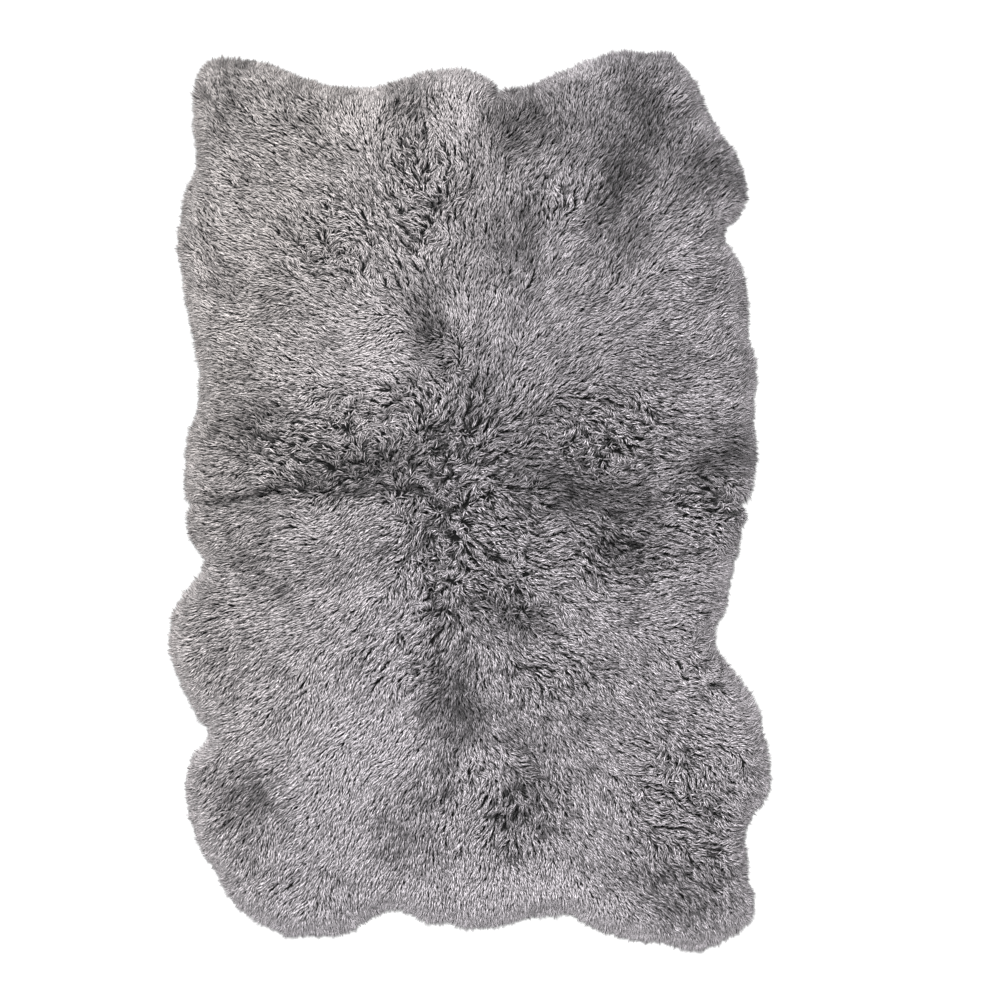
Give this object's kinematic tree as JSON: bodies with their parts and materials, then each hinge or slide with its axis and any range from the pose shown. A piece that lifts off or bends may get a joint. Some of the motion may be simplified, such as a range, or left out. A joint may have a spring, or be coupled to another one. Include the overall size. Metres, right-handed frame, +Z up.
{
  "type": "sheepskin fur rug",
  "caption": "Grey sheepskin rug sewn of whole pelts, with short dense wool, an uneven outline and locks of wool at its edge.",
  "frame": {"origin": "middle of the bounding box on the surface that the rug lies on", "axes": "+Y along the rug towards the end with the two narrower corners, +X across it, +Z up out of the wool"},
  "size_m": [1.211, 1.809, 0.0411],
  "materials": {
    "wool_light": "matt light grey short wool with soft sheen on the tips",
    "wool_dark": "matt mid grey short wool with soft sheen on the tips",
    "hide": "suede underside of the tanned sheepskin"
  },
  "bodies": {
    "root": {"pelt_upper_left": "wool_light", "pelt_upper_right": "wool_dark", "pelt_lower_left": "wool_light", "pelt_lower_right": "wool_dark"}
  },
  "joints": []
}
